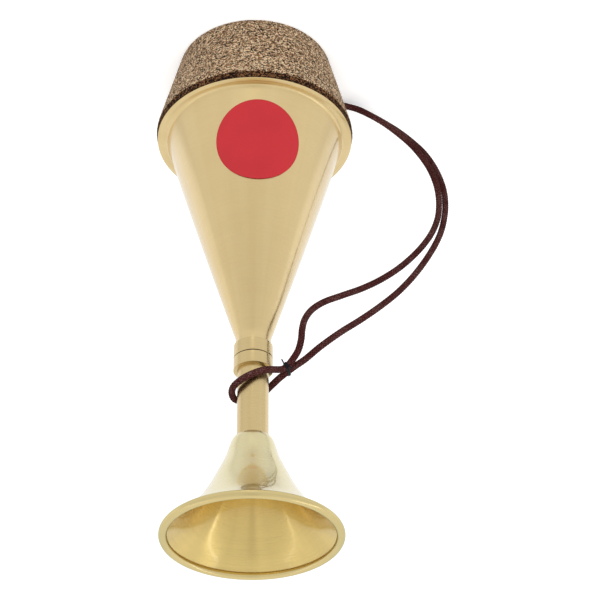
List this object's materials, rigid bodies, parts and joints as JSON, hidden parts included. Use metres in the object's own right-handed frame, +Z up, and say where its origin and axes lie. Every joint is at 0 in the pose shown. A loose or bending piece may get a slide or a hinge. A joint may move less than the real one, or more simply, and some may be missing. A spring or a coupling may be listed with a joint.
{
  "type": "french horn stop mute",
  "caption": "Brass stopping mute for a horn: spun cone on a tapered cork ring, sliding stem with a flared rolled-rim bell, and a cord loop round the stem.",
  "frame": {"origin": "on the mute's axis, in the plane of the cork's foot, on which it stands", "axes": "+Z up the mute's axis from the cork to the bell; the label faces -Y; the cord lies towards -X"},
  "size_m": [0.1182, 0.078, 0.2134],
  "materials": {
    "brass_satin": "satin, lengthwise brushed, lacquered",
    "brass_polished": "polished outside, ring-brushed inside",
    "brass_plain": "plain drawn or spun, inside",
    "cork": "matte, ground cork granules",
    "dark_cork": "matte, dark granules",
    "red_label": "satin red film, bare",
    "cord": "soft sheen, dark red-brown",
    "black_tie": "matte black"
  },
  "bodies": {
    "mute_body": {"cork_ring": "cork", "backing_ring": "dark_cork", "cork_sleeve": "brass_plain", "end_plate": "brass_plain", "inlet_tube": "brass_plain", "body_cone": "brass_satin", "neck_ferrule": "brass_satin", "receiver_tube": "brass_plain", "label": "red_label"},
    "bell_slide": {"slide_ferrule": "brass_satin", "slide_tube": "brass_plain", "stem_tube": "brass_satin", "bell_flare": "brass_polished", "bell_rim_wire": "brass_plain"},
    "cord_loop": {"cord_neck_loop": "cord", "cord_inner_strand": "cord", "cord_outer_strand": "cord", "cord_knot": "cord", "cord_tie": "black_tie"}
  },
  "joints": [
    {"name": "tuning_slide", "type": "slide", "parent": "mute_body", "child": "bell_slide", "axis": [0, 0, 1], "range_m": [0, 0.012]},
    {"name": "cord_swivel", "type": "hinge", "parent": "bell_slide", "child": "cord_loop", "pos_m": [0, 0, 0.1454], "axis": [0, 0, 1], "continuous": true}
  ]
}
